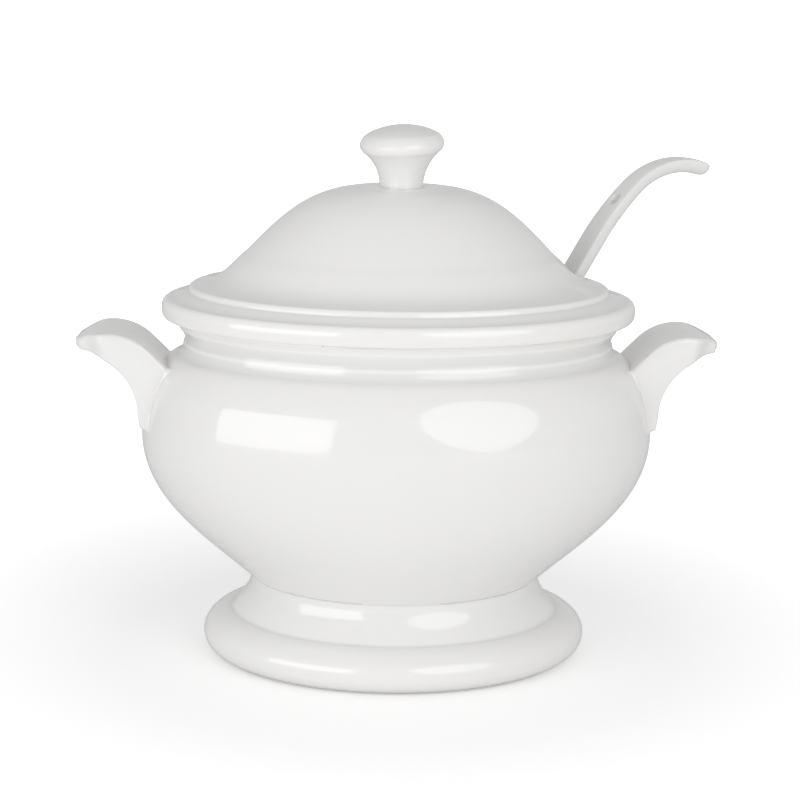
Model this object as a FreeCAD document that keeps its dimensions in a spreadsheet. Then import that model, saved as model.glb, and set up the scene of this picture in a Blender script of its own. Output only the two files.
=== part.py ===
"""Oval porcelain soup tureen with a domed lid and a ladle.

Millimetres, +Z up, +X towards the right handle. The origin is the centre of the
foot ring, in the plane that it stands on. The driving sizes are in the Sizes sheet.
"""
import FreeCAD, Part

import math
import os

import Sketcher

from FreeCAD import Placement, Rotation, Vector

doc = FreeCAD.newDocument("soup_tureen")

# Every oval size is a half-width along X; an aspect is its depth over its width.
SIZES = [
    ("foot_aspect", 0.80, "depth over width of the foot"),
    ("body_aspect", 0.67, "depth over width of the belly, rim and lid"),
    # foot
    ("foot_half_width", 103.7, "widest line of the foot's flange"),
    ("foot_flange_height", 11, "height of that line"),
    ("foot_base_half_width", 88, "outer edge of the ring that it stands on"),
    ("foot_ring_width", 7, "width of that ring"),
    ("foot_crease_height", 24, "crease where the flange turns into the cove"),
    ("foot_height", 43.5, "joint between foot and bowl"),
    ("neck_half_width", 78, "narrowest line, at the joint"),
    ("foot_wall", 8, "wall of the foot at the joint"),
    # bowl
    ("belly_half_width", 136.4, "widest line of the bowl"),
    ("belly_height", 122, "height of that line"),
    ("rim_half_width", 117, "band below the lid"),
    ("rim_height", 184, "top of the bowl"),
    ("shoulder_overhang", 4, "top of the shoulder, outside the band"),
    ("shoulder_drop", 20, "top of the shoulder, below the rim"),
    ("collar_inset", 2.8, "ridge between cove and groove, inside the band"),
    ("collar_drop", 13, "that ridge, below the rim"),
    ("rim_band_height", 4.8, "height of the band"),
    ("rim_chamfer", 1.2, "bevel on the band's upper edge"),
    ("bowl_wall", 5.5, "wall of the bowl"),
    ("bowl_floor", 7.5, "thickness of the bowl's floor"),
    # lid
    ("lid_overhang", 8.6, "how far the lid's edge passes the bowl's band"),
    ("lid_edge_height", 10.5, "height of the lid's rounded edge"),
    ("lid_cove_rise", 3.4, "rise of the shallow cove between edge and step"),
    ("lid_step_inset", 14, "small step, inside the lid's edge"),
    ("lid_step_height", 3.2, "height of that step"),
    ("lid_height", 70, "top of the dome above the bowl's rim"),
    ("dome_half_width", 81, "side of the dome where it is steepest"),
    ("dome_side_height", 35, "height of that side above the bowl's rim"),
    ("lid_wall", 5, "wall of the lid"),
    ("lid_gap", 0.3, "gap between the lid's seat and the bowl's rim"),
    ("flange_depth", 8, "how far the lid's locating flange reaches down"),
    ("flange_wall", 4, "wall of the flange"),
    ("flange_clearance", 1.5, "gap between the flange and the bowl's wall"),
    # knob
    ("knob_base_radius", 11.5, "foot of the knob"),
    ("knob_neck_radius", 19.5, "where the hollow side meets the cap"),
    ("knob_neck_height", 17.6, "height of that edge"),
    ("knob_radius", 22.2, "widest line of the cap"),
    ("knob_widest_height", 22, "height of the widest line"),
    ("knob_shoulder_radius", 17.5, "where the cap's side turns into its top"),
    ("knob_shoulder_height", 28.4, "height of that turn"),
    ("knob_height", 32.3, "top of the knob"),
    # lug handles
    ("handle_reach", 33.6, "tip of each handle, outside the belly"),
    ("handle_width", 46, "width of the strap"),
    ("handle_rise", 56.3, "top of the strap's arch, above the belly's widest line"),
    ("handle_crest_radius", 30, "radius of the arch on top"),
    ("handle_crest_setback", 17.5, "crest to tip"),
    ("handle_hollow_radius", 29.5, "radius of the arch underneath"),
    ("handle_tip_thickness", 5, "thickness at the tip"),
    ("handle_root_rise", 2, "lowest point of the root, above the belly's widest line"),
    ("handle_root_depth", 24, "how far the strap's root is carried into the wall"),
    ("handle_edge_radius", 1.5, "rounding of the strap's long edges"),
    ("lobe_half_width", 13, "half-width of the middle lobe at the tip"),
    ("lobe_length", 12, "how far the lobe passes the shoulders beside it"),
    # ladle
    ("ladle_azimuth", 22, "direction in which the ladle leans, from +X towards +Y"),
    ("ladle_slope", 57, "slope of the handle's straight part"),
    ("ladle_rim_clearance", 1.0, "gap between the handle's back and the bowl's lip"),
    ("ladle_bend_rise", 37, "end of the straight part, above the bowl's rim"),
    ("ladle_bend_radius", 150, "radius of the easy bend"),
    ("ladle_bend_angle", 15, "turn of the easy bend"),
    ("ladle_hook_radius", 46, "radius of the hook"),
    ("ladle_hook_angle", 68, "turn of the hook"),
    ("ladle_width", 16.5, "width of the handle's flat face"),
    ("ladle_thickness", 10, "thickness of the handle"),
    ("ladle_tip_width", 12.5, "width at the hook's tip"),
    ("ladle_tip_thickness", 8, "thickness at the hook's tip"),
    ("ladle_hole_radius", 3.25, "hole to hang the ladle by"),
    ("ladle_hole_distance", 26, "hole from the end of the straight part, along the bend"),
    ("cup_radius", 38, "ladle cup, outer radius at its rim"),
    ("cup_depth", 31, "ladle cup, outer depth"),
    ("cup_wall", 3.5, "wall of the cup"),
    ("cup_tilt", 15, "tilt of the cup towards the handle"),
    ("cup_floor_gap", 2.5, "gap between the cup and the bowl's floor"),
    ("notch_clearance", 2.5, "gap round the ladle's handle in the lid"),
    ("notch_corner", 4, "radius in the notch's inner corners"),
]

sheet = doc.addObject("Spreadsheet::Sheet", "Sizes")
for row, (alias, value, meaning) in enumerate(SIZES, start=1):
    sheet.set("A%d" % row, alias.replace("_", " "))
    sheet.set("B%d" % row, str(value))
    sheet.set("C%d" % row, meaning)
    sheet.setAlias("B%d" % row, alias)
doc.recompute()


def size(alias):
    """The value of one named size."""
    return float(sheet.get(alias))


def add_piece(name, shape):
    """One sub-part whose shape is set directly, because no feature makes this kind of oval."""
    piece = doc.addObject("Part::Feature", name)
    piece.Label = name
    piece.Shape = shape
    piece.Placement = Placement()
    return piece


# ---------------------------------------------------------------------------
# Oval solids: an outline is a chain of stretches, each a list of oval rings.
# Two rings make a straight stretch and four make a cubic curve.
# ---------------------------------------------------------------------------

CORNER = math.sqrt(0.5)
OVAL_POLES = [(1, 0), (1, 1), (0, 1), (-1, 1), (-1, 0), (-1, -1), (0, -1), (1, -1), (1, 0)]
OVAL_WEIGHTS = [1, CORNER, 1, CORNER, 1, CORNER, 1, CORNER, 1]
OVAL_KNOTS = [0, 1, 2, 3, 4]
OVAL_MULTIPLICITIES = [3, 2, 2, 2, 3]


def ring(half_width, height, aspect, inset=0.0):
    """An oval at one height, moved inwards by the inset on every side."""
    return (half_width - inset, half_width * aspect - inset, height)


def oval_edge(oval):
    """The exact ellipse of one ring, as an edge."""
    poles = [Vector(x * oval[0], y * oval[1], oval[2]) for x, y in OVAL_POLES]
    curve = Part.BSplineCurve()
    curve.buildFromPolesMultsKnots(poles, OVAL_MULTIPLICITIES, OVAL_KNOTS, False, 2, OVAL_WEIGHTS)
    return curve.toShape()


def oval_face(rings):
    """The surface of one stretch: flat where both rings share a height, else curved."""
    if len(rings) == 2 and rings[0][2] == rings[1][2]:
        outer, inner = sorted(rings, reverse=True)
        face = Part.Face(Part.Wire(oval_edge(outer)))
        if inner[0] > 0:
            face = face.cut(Part.Face(Part.Wire(oval_edge(inner)))).Faces[0]
        return face
    degree = len(rings) - 1
    poles = [[Vector(x * r[0], y * r[1], r[2]) for r in rings] for x, y in OVAL_POLES]
    weights = [[weight] * len(rings) for weight in OVAL_WEIGHTS]
    surface = Part.BSplineSurface()
    surface.buildFromPolesMultsKnots(
        poles, OVAL_MULTIPLICITIES, [degree + 1, degree + 1], OVAL_KNOTS, [0, 1],
        False, False, 2, degree, weights)
    return surface.toShape()


def oval_solid(stretches):
    """A closed solid from the surfaces of its outline's stretches."""
    shell = Part.Compound([oval_face(rings) for rings in stretches])
    shell.sewShape(1e-5)
    solid = Part.Solid(shell.Shells[0])
    if solid.Volume < 0:
        solid.reverse()
    return solid


def curve(start, start_pull, end_pull, end):
    """A cubic stretch; each pull is (outwards, upwards) from its own end."""
    def pulled(oval, pull):
        share = oval[1] / oval[0]
        return (oval[0] + pull[0], oval[1] + pull[0] * share, oval[2] + pull[1])
    return [start, pulled(start, start_pull), pulled(end, end_pull), end]


AXIS = 0.0


def disc(oval):
    """A flat stretch from a ring in to the axis."""
    return [oval, (AXIS, AXIS, oval[2])]


# ---------------------------------------------------------------------------
# Foot
# ---------------------------------------------------------------------------

foot_aspect = size("foot_aspect")
body_aspect = size("body_aspect")
foot_height = size("foot_height")
crease_height = size("foot_crease_height")
flange_line = size("foot_flange_height")
neck = size("neck_half_width")


def build_foot():
    """Hollow pedestal: rounded flange, crease, cove, and an open inside."""
    base = size("foot_base_half_width")
    widest = size("foot_half_width")
    wall = size("foot_wall")
    # The crease lies two fifths of the way from the neck out to the flange.
    crease = neck + 0.4 * (widest - neck)
    bottom_outer = ring(base, 0, foot_aspect)
    bottom_inner = ring(base, 0, foot_aspect, size("foot_ring_width"))
    widest_ring = ring(widest, flange_line, foot_aspect)
    crease_ring = ring(crease, crease_height, foot_aspect)
    neck_outer = ring(neck, foot_height, foot_aspect)
    neck_inner = ring(neck, foot_height, foot_aspect, wall)
    flange_rise = crease_height - flange_line
    cove_rise = foot_height - crease_height
    return oval_solid([
        curve(bottom_outer, (0.65 * (widest - base), 0), (0, -0.6 * flange_line), widest_ring),
        curve(widest_ring, (0, 0.6 * flange_rise),
              (0.45 * (widest - crease), -0.1 * flange_rise), crease_ring),
        curve(crease_ring, (-0.3 * (crease - neck), 0.25 * cove_rise), (0, -0.5 * cove_rise), neck_outer),
        [neck_outer, neck_inner],
        curve(neck_inner, (0.1 * wall, -0.45 * foot_height), (0.9 * wall, 0.35 * foot_height), bottom_inner),
        [bottom_inner, bottom_outer],
    ])


# ---------------------------------------------------------------------------
# Bowl
# ---------------------------------------------------------------------------

belly = size("belly_half_width")
belly_height = size("belly_height")
rim = size("rim_half_width")
rim_height = size("rim_height")
shoulder = rim + size("shoulder_overhang")
shoulder_height = rim_height - size("shoulder_drop")
collar = rim - size("collar_inset")
collar_height = rim_height - size("collar_drop")
bowl_wall = size("bowl_wall")
bowl_floor_height = foot_height + size("bowl_floor")
lip = ring(rim, rim_height, body_aspect, bowl_wall)


def lower_belly(foot_of_curve):
    """The belly from its foot to its widest line, where the oval gets its final aspect."""
    rise = belly_height - foot_of_curve[2]
    spread = belly - foot_of_curve[0]
    widest = ring(belly, belly_height, body_aspect)
    return curve(foot_of_curve, (0.42 * spread, 0.30 * rise), (0, -0.46 * rise), widest)


def upper_belly(inset, end):
    """The belly from its widest line over the shoulder."""
    rise = end[2] - belly_height
    widest = ring(belly, belly_height, body_aspect, inset)
    drop = widest[0] - end[0]
    return curve(widest, (0, 0.55 * rise), (0.48 * drop, -0.17 * rise), end)


def bowl_outside():
    """The outer stretches of the bowl, from its joint with the foot to its rim."""
    foot_ring = ring(neck, foot_height, foot_aspect)
    shoulder_ring = ring(shoulder, shoulder_height, body_aspect)
    ridge = ring(collar, collar_height, body_aspect)
    band_height = rim_height - size("rim_band_height")
    chamfer = size("rim_chamfer")
    band_bottom = ring(rim - 0.5 * chamfer, band_height, body_aspect)
    band_top = ring(rim, rim_height - chamfer, body_aspect)
    rim_edge = ring(rim - chamfer, rim_height, body_aspect)
    cove_rise = collar_height - shoulder_height
    cove_run = shoulder - collar
    groove_rise = band_height - collar_height
    return [
        disc(foot_ring),
        lower_belly(foot_ring),
        upper_belly(0, shoulder_ring),
        curve(shoulder_ring, (-0.65 * cove_run, 0.12 * cove_rise), (0, -0.5 * cove_rise), ridge),
        curve(ridge, (-0.2 * groove_rise, 0.35 * groove_rise),
              (-0.3 * groove_rise, -0.35 * groove_rise), band_bottom),
        [band_bottom, band_top],
        [band_top, rim_edge],
    ]


def bowl_solid():
    """The bowl with its outside filled in, which the handles are fitted against."""
    outside = bowl_outside()
    return oval_solid(outside + [disc(outside[-1][-1])])


def build_bowl():
    """The bowl with its cavity."""
    outside = bowl_outside()
    rim_edge = outside[-1][-1]
    waist = ring(collar, collar_height, body_aspect, bowl_wall)
    inner_shoulder = ring(shoulder, shoulder_height - 1.5 * bowl_wall, body_aspect, bowl_wall)
    floor_ring = ring(0.7 * neck, bowl_floor_height, foot_aspect)
    rise = belly_height - bowl_floor_height
    spread = belly - bowl_wall - floor_ring[0]
    widest = ring(belly, belly_height, body_aspect, bowl_wall)
    neck_rise = waist[2] - inner_shoulder[2]
    return oval_solid(outside + [
        [rim_edge, lip],
        [lip, waist],
        curve(waist, (0, -0.5 * neck_rise), (-0.15 * neck_rise, 0.3 * neck_rise), inner_shoulder),
        list(reversed(upper_belly(bowl_wall, inner_shoulder))),
        curve(widest, (0, -0.48 * rise), (0.50 * spread, 0), floor_ring),
        disc(floor_ring),
    ])


# ---------------------------------------------------------------------------
# Lid
# ---------------------------------------------------------------------------

seat_height = rim_height + size("lid_gap")
lid_top = rim_height + size("lid_height")
lid_half_width = rim + size("lid_overhang")
lid_wall = size("lid_wall")
dome = size("dome_half_width")
dome_side = rim_height + size("dome_side_height")
# The flat top carries the round foot of the knob on its short side too.
lid_flat = 1.05 * size("knob_base_radius") / body_aspect


def ogee(start, end):
    """The hollow sweep of the lid, from low and wide up to the side of the dome."""
    rise = end[2] - start[2]
    run = start[0] - end[0]
    return curve(start, (-0.62 * run, 0.16 * rise), (0.36 * run, -0.46 * rise), end)


def crown(start, end):
    """The round of the dome, from its side over to its flat top."""
    rise = end[2] - start[2]
    run = start[0] - end[0]
    return curve(start, (-0.30 * run, 0.57 * rise), (0.46 * run, 0), end)


def build_lid():
    """Domed lid: rounded edge, shallow cove, step, ogee, dome and a locating flange."""
    edge = size("lid_edge_height")
    round_off = 0.4 * edge
    cove_rise = size("lid_cove_rise")
    step = lid_half_width - size("lid_step_inset")
    cove_run = size("lid_step_inset") - round_off
    step_rise = size("lid_step_height")
    flange_side = bowl_wall + size("flange_clearance")
    flange_inside = flange_side + size("flange_wall")
    flange_bottom = rim_height - size("flange_depth")
    seat_outer = ring(lid_half_width - 0.7 * round_off, seat_height, body_aspect)
    widest = ring(lid_half_width, seat_height + 0.5 * edge, body_aspect)
    edge_top = ring(lid_half_width - round_off, seat_height + edge, body_aspect)
    step_foot = ring(step, edge_top[2] + cove_rise, body_aspect)
    step_top = ring(step - 0.7 * step_rise, step_foot[2] + step_rise, body_aspect)
    side = ring(dome, dome_side, body_aspect)
    top = ring(lid_flat, lid_top, body_aspect)
    inner_step = ring(step - step_rise, step_foot[2], body_aspect, lid_wall)
    inner_side = ring(dome, dome_side - 0.35 * lid_wall, body_aspect, lid_wall)
    inner_top = ring(lid_flat, lid_top - lid_wall, body_aspect)
    seat_inner = ring(rim, seat_height, body_aspect, flange_side)
    flange_foot = ring(collar, flange_bottom, body_aspect, flange_side)
    flange_inner = ring(collar, flange_bottom, body_aspect, flange_inside)
    return oval_solid([
        curve(seat_outer, (0.45 * round_off, 0), (0, -0.34 * edge), widest),
        curve(widest, (0, 0.30 * edge), (0.6 * round_off, 0), edge_top),
        curve(edge_top, (-0.3 * cove_run, 0), (0.25 * cove_run, -0.25 * cove_rise), step_foot),
        curve(step_foot, (0, 0.55 * step_rise), (0.3 * step_rise, 0), step_top),
        ogee(step_top, side),
        crown(side, top),
        disc(top),
        disc(inner_top),
        list(reversed(crown(inner_side, inner_top))),
        list(reversed(ogee(inner_step, inner_side))),
        [inner_step, flange_inner],
        [flange_inner, flange_foot],
        [flange_foot, seat_inner],
        [seat_inner, seat_outer],
    ])


# ---------------------------------------------------------------------------
# Ladle: its plane stands upright on the azimuth; places in it are (reach, height)
# ---------------------------------------------------------------------------

azimuth = math.radians(size("ladle_azimuth"))
REACH = Vector(math.cos(azimuth), math.sin(azimuth), 0)
SIDEWAYS = Vector(-math.sin(azimuth), math.cos(azimuth), 0)
UP = Vector(0, 0, 1)

slope = math.radians(size("ladle_slope"))
bend_radius = size("ladle_bend_radius")
bend_angle = math.radians(size("ladle_bend_angle"))
hook_radius = size("ladle_hook_radius")
hook_angle = math.radians(size("ladle_hook_angle"))
bend_length = bend_radius * bend_angle
hook_length = hook_radius * hook_angle
ladle_thickness = size("ladle_thickness")
# The handle's back leans on the bowl's lip, which is an oval.
lip_reach = 1 / math.hypot(math.cos(azimuth) / lip[0], math.sin(azimuth) / lip[1])
rim_reach = lip_reach - size("ladle_rim_clearance") - ladle_thickness / math.sin(slope)


def flat_face_reach(height):
    """Reach of the handle's flat face at a height on its straight part."""
    return rim_reach + (height - rim_height) / math.tan(slope)


bend_height = rim_height + size("ladle_bend_rise")
bend_start = (flat_face_reach(bend_height), bend_height)

# The cup is a cap of a hollow ball. Its inner rim meets the handle's flat face.
cup_radius = size("cup_radius")
cup_depth = size("cup_depth")
cup_tilt = math.radians(size("cup_tilt"))
ball_radius = (cup_radius ** 2 + cup_depth ** 2) / (2 * cup_depth)
rim_drop = ball_radius - cup_depth
inner_rim = math.sqrt((ball_radius - size("cup_wall")) ** 2 - rim_drop ** 2)
ball_height = bowl_floor_height + size("cup_floor_gap") + ball_radius
cup_rim_height = ball_height - rim_drop * math.cos(cup_tilt) - inner_rim * math.sin(cup_tilt)
cup_reach = (flat_face_reach(cup_rim_height) + rim_drop * math.sin(cup_tilt)
             - inner_rim * math.cos(cup_tilt))
handle_foot_height = cup_rim_height - 0.3 * cup_depth
straight_length = (bend_height - handle_foot_height) / math.sin(slope)


def ladle_path(distance):
    """Place and slope of the handle's flat face; the distance is 0 where the bend starts."""
    if distance <= 0:
        place = (bend_start[0] + distance * math.cos(slope), bend_start[1] + distance * math.sin(slope))
        return place, slope
    turn = min(distance, bend_length) / bend_radius
    place = (bend_start[0] + bend_radius * (math.sin(slope) - math.sin(slope - turn)),
             bend_start[1] + bend_radius * (math.cos(slope - turn) - math.cos(slope)))
    if distance <= bend_length:
        return place, slope - turn
    start = slope - turn
    turn = (distance - bend_length) / hook_radius
    place = (place[0] + hook_radius * (math.sin(start) - math.sin(start - turn)),
             place[1] + hook_radius * (math.cos(start - turn) - math.cos(start)))
    return place, start - turn


def in_space(place):
    """A place in the ladle's plane, as a point of the model."""
    return REACH * place[0] + UP * place[1]


def handle_section(distance, scale=1.0):
    """The half-round section across the handle, flat side towards the lid."""
    place, angle = ladle_path(distance)
    share = max(0.0, distance) / (bend_length + hook_length)
    width = size("ladle_width") + share * (size("ladle_tip_width") - size("ladle_width"))
    thickness = ladle_thickness + share * (size("ladle_tip_thickness") - ladle_thickness)
    # The last tenth above the cup thins to half, so that it runs out along the cup's wall.
    thickness *= min(1.0, 0.5 + 5 * (1 + distance / straight_length))
    outwards = REACH * math.sin(angle) - UP * math.cos(angle)
    # The tip closes in towards the middle of the section.
    middle = in_space(place) + outwards * (0.5 * thickness * (1 - scale))
    half = SIDEWAYS * (0.5 * width * scale)
    bulge = outwards * (thickness * scale)
    flat = Part.LineSegment(middle - half, middle + half).toShape()
    ellipse = Part.BSplineCurve()
    ellipse.buildFromPolesMultsKnots(
        [middle + half, middle + half + bulge, middle + bulge, middle - half + bulge, middle - half],
        [3, 2, 3], [0, 1, 2], False, 2, [1, CORNER, 1, CORNER, 1])
    return Part.Wire([flat, ellipse.toShape()])


def cup_placement():
    """The cup's own frame: the foot of its axis, tilted about the ladle's sideways line."""
    turn = Rotation(SIDEWAYS, size("cup_tilt"))
    ball_centre = in_space((cup_reach, ball_height))
    return Placement(ball_centre - turn.multVec(UP * ball_radius), turn)


def cup_filled():
    """The cup with its hollow filled in, which the handle is fitted against."""
    rim_level = Part.makeBox(4 * ball_radius, 4 * ball_radius, cup_depth,
                             Vector(-2 * ball_radius, -2 * ball_radius, 0))
    cap = Part.makeSphere(ball_radius, UP * ball_radius).common(rim_level)
    cap.Placement = cup_placement()
    return cap


def build_ladle_handle():
    """The curved handle with its hanging hole, fitted to the outside of the cup."""
    end = bend_length + hook_length
    stops = [-straight_length * part for part in (1.0, 0.95, 0.9, 0.6, 0.3, 0)]
    stops += [bend_length * part for part in (0.33, 0.67, 1.0)]
    stops += [bend_length + hook_length * part for part in (0.2, 0.4, 0.6, 0.8)]
    sections = [handle_section(distance) for distance in stops]
    tip_radius = 0.5 * size("ladle_tip_width")
    for part in (0.55, 0.8, 0.93, 0.985):
        distance = end - tip_radius * (1 - part)
        sections.append(handle_section(distance, math.sqrt(1 - part ** 2)))
    handle = Part.makeLoft(sections, True, False)
    hole_place, hole_angle = ladle_path(size("ladle_hole_distance"))
    outwards = REACH * math.sin(hole_angle) - UP * math.cos(hole_angle)
    drill_length = 3 * ladle_thickness
    hole = Part.makeCylinder(size("ladle_hole_radius"), drill_length,
                             in_space(hole_place) - outwards * (0.5 * drill_length), outwards)
    return handle.cut(hole).cut(cup_filled())


def notch_tool():
    """The slot in the lid's rim that the ladle's handle stands in."""
    clearance = size("notch_clearance")
    half_width = 0.5 * size("ladle_width") + clearance
    inner_face = flat_face_reach(rim_height - size("flange_depth")) - clearance
    bottom = rim_height - 2 * size("flange_depth")
    block = Part.makeBox(2 * lid_half_width, 2 * half_width, lid_top - bottom,
                         Vector(inner_face, -half_width, bottom))
    uprights = []
    for edge in block.Edges:
        start, end = edge.Vertexes[0].Point, edge.Vertexes[-1].Point
        if abs(start.z - end.z) > 1 and start.x < inner_face + 1:
            uprights.append(edge)
    block = block.makeFillet(size("notch_corner"), uprights)
    block.rotate(Vector(0, 0, 0), UP, size("ladle_azimuth"))
    return block


# ---------------------------------------------------------------------------
# Sketched pieces
# ---------------------------------------------------------------------------

ORIGIN = -1


def origin_plane(body, role):
    """One of the body's own origin planes."""
    return next(f for f in body.Origin.OriginFeatures if f.Role == role)


def outline_sketch(body, name, plane, outline):
    """A closed sketch. Each entry is (x, y, through): the corner's two expressions, and for an
    arc the radius expression and a point that it passes, before the next corner."""
    sketch = body.newObject("Sketcher::SketchObject", name)
    sketch.AttachmentSupport = [(origin_plane(body, plane), "")]
    sketch.MapMode = "FlatFace"
    corners = [Vector(evaluate(x), evaluate(y), 0) for x, y, _ in outline]
    for index, (_, _, arc) in enumerate(outline):
        start = corners[index]
        end = corners[(index + 1) % len(corners)]
        if arc is None:
            sketch.addGeometry(Part.LineSegment(start, end), False)
        else:
            sketch.addGeometry(arc_between(start, end, evaluate(arc[0]), arc[1]), False)
    count = len(outline)
    ends = [geometry_ends(sketch, index, corners[index]) for index in range(count)]
    for index in range(count):
        following = (index + 1) % count
        sketch.addConstraint(Sketcher.Constraint(
            "Coincident", index, ends[index][1], following, ends[following][0]))
    for index, (x, y, arc) in enumerate(outline):
        for kind, expression in (("DistanceX", x), ("DistanceY", y)):
            number = sketch.addConstraint(Sketcher.Constraint(
                kind, ORIGIN, 1, index, ends[index][0], evaluate(expression)))
            sketch.setExpression("Constraints[%d]" % number, expression)
        if arc is not None:
            number = sketch.addConstraint(Sketcher.Constraint("Radius", index, evaluate(arc[0])))
            sketch.setExpression("Constraints[%d]" % number, arc[0])
    return sketch


def evaluate(expression):
    """The value of an expression over the sheet's sizes."""
    return float(sheet.evalExpression(expression.replace("Sizes.", "")))


def arc_between(start, end, radius, side):
    """The short arc between two corners; side is +1 where it bulges to the left of the way."""
    chord = end - start
    half = 0.5 * chord.Length
    left = Vector(-chord.y, chord.x, 0).normalize()
    rise = radius - math.sqrt(max(radius ** 2 - half ** 2, 0.0))
    return Part.Arc(start, (start + end) * 0.5 + left * (side * rise), end)


def geometry_ends(sketch, index, start):
    """Which of a sketch line's two ends is its first corner: (first, last)."""
    if (sketch.getPoint(index, 1) - start).Length < (sketch.getPoint(index, 2) - start).Length:
        return 1, 2
    return 2, 1


def revolved_body(name, outline):
    """A turned piece: its outline, in X and Z, revolved about the upright axis."""
    body = doc.addObject("PartDesign::Body", name)
    body.Label = name
    sketch = outline_sketch(body, name + "_outline", "XZ_Plane", outline)
    doc.recompute()
    turned = body.newObject("PartDesign::Revolution", name + "_turned")
    turned.Profile = sketch
    turned.ReferenceAxis = (sketch, ["V_Axis"])
    turned.Angle = 360
    doc.recompute()
    return body


def build_knob():
    """Trumpet-shaped knob: hollow side, rounded cap and domed top."""
    body = revolved_body("lid_knob", [
        ("0", "0", None),
        ("Sizes.knob_base_radius", "0",
         ("((Sizes.knob_neck_radius - Sizes.knob_base_radius)^2 + Sizes.knob_neck_height^2)"
          " / (2 * (Sizes.knob_neck_radius - Sizes.knob_base_radius))", 1)),
        ("Sizes.knob_neck_radius", "Sizes.knob_neck_height",
         ("0.28 * Sizes.knob_radius", -1)),
        ("Sizes.knob_radius", "Sizes.knob_widest_height",
         ("0.36 * Sizes.knob_radius", -1)),
        ("Sizes.knob_shoulder_radius", "Sizes.knob_shoulder_height",
         ("(Sizes.knob_shoulder_radius^2 + (Sizes.knob_height - Sizes.knob_shoulder_height)^2)"
          " / (2 * (Sizes.knob_height - Sizes.knob_shoulder_height))", -1)),
        ("0", "Sizes.knob_height", None),
    ])
    body.setExpression("Placement.Base.z", "Sizes.rim_height + Sizes.lid_height")
    return body


def build_cup():
    """Ladle cup: a cap of a hollow ball."""
    ball = "((Sizes.cup_radius^2 + Sizes.cup_depth^2) / (2 * Sizes.cup_depth))"
    inner_ball = "(%s - Sizes.cup_wall)" % ball
    inner_rim = "sqrt(%s^2 - (%s - Sizes.cup_depth)^2)" % (inner_ball, ball)
    body = revolved_body("ladle_cup", [
        ("0", "0", (ball, -1)),
        ("Sizes.cup_radius", "Sizes.cup_depth", None),
        (inner_rim, "Sizes.cup_depth", (inner_ball, 1)),
        ("0", "Sizes.cup_wall", None),
    ])
    body.Placement = cup_placement()
    return body


def long_edges(strap):
    """The strap's edges along its length and round its tip, outside the belly."""
    names = []
    for number, edge in enumerate(strap.Edges, start=1):
        way = edge.Vertexes[-1].Point - edge.Vertexes[0].Point
        across = abs(way.y) > 1e-6 and abs(way.x) < 1e-6
        upright = abs(way.z) > 1e-6 and abs(way.x) < 1e-6
        outside = edge.CenterOfMass.x > size("belly_half_width") - 10
        if outside and not across and not upright:
            names.append("Edge%d" % number)
    return names


def build_right_handle(bowl_outside_solid):
    """Lug handle: an arched strap with a lobed tip, its root fitted to the belly."""
    tip_x = "(Sizes.belly_half_width + Sizes.handle_reach)"
    crest_x = "(%s - Sizes.handle_crest_setback)" % tip_x
    crest_z = "(Sizes.belly_height + Sizes.handle_rise)"
    crest_drop = "(0.70711 * Sizes.handle_crest_radius)"
    line_top_x = "(%s - %s)" % (crest_x, crest_drop)
    line_top_z = "(%s - Sizes.handle_crest_radius + %s)" % (crest_z, crest_drop)
    tip_top_z = ("(%s - Sizes.handle_crest_radius"
                 " + sqrt(Sizes.handle_crest_radius^2 - Sizes.handle_crest_setback^2))" % crest_z)
    tip_bottom_z = "(%s - Sizes.handle_tip_thickness)" % tip_top_z
    hollow_x = "(%s - Sizes.handle_hollow_radius)" % tip_x
    hollow_z = "(%s - Sizes.handle_hollow_radius)" % tip_bottom_z
    root_x = "(Sizes.belly_half_width - 0.3)"
    root_z = "(Sizes.belly_height + Sizes.handle_root_rise)"
    inside_x = "(Sizes.belly_half_width - Sizes.handle_root_depth)"
    body = doc.addObject("PartDesign::Body", "handle_blank")
    side_view = outline_sketch(body, "handle_side_view", "XZ_Plane", [
        (inside_x, root_z, None),
        (root_x, root_z, None),
        (hollow_x, hollow_z, ("Sizes.handle_hollow_radius", 1)),
        (tip_x, tip_bottom_z, None),
        (tip_x, tip_top_z, ("Sizes.handle_crest_radius", -1)),
        (line_top_x, line_top_z, None),
        (inside_x, "(%s - (%s - %s))" % (line_top_z, line_top_x, inside_x), None),
    ])
    doc.recompute()
    strap = body.newObject("PartDesign::Pad", "handle_strap")
    strap.Profile = side_view
    strap.Midplane = True
    strap.setExpression("Length", "Sizes.handle_width")
    doc.recompute()
    shoulder_x = "(%s - Sizes.lobe_length)" % tip_x
    past_x = "(%s + Sizes.lobe_length)" % tip_x
    past_y = "(Sizes.handle_width)"
    lobe_x = "(%s - 0.3 * Sizes.lobe_length)" % tip_x
    for name, sign in (("handle_scallop_front", "-"), ("handle_scallop_back", "")):
        bulge = -1 if sign else 1
        scallop = outline_sketch(body, name, "XY_Plane", [
            (shoulder_x, sign + past_y, None),
            (shoulder_x, "%s(0.5 * Sizes.handle_width - Sizes.handle_edge_radius)" % sign,
             ("0.8 * Sizes.lobe_length", bulge)),
            (lobe_x, sign + "Sizes.lobe_half_width",
             ("1.15 * Sizes.lobe_half_width", -bulge)),
            (tip_x, sign + "(0.25 * Sizes.lobe_half_width)", None),
            (past_x, sign + "(0.25 * Sizes.lobe_half_width)", None),
            (past_x, sign + past_y, None),
        ])
        doc.recompute()
        cut = body.newObject("PartDesign::Pocket", name + "_cut")
        cut.Profile = scallop
        cut.Type = "ThroughAll"
        cut.Midplane = True
        doc.recompute()
    rounded = body.newObject("PartDesign::Fillet", "handle_rounded")
    rounded.Base = (cut, long_edges(cut.Shape))
    rounded.setExpression("Radius", "Sizes.handle_edge_radius")
    doc.recompute()
    fitted = doc.addObject("Part::Cut", "right_handle")
    fitted.Label = "right_handle"
    fitted.Base = body
    fitted.Tool = bowl_outside_solid
    return fitted


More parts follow.
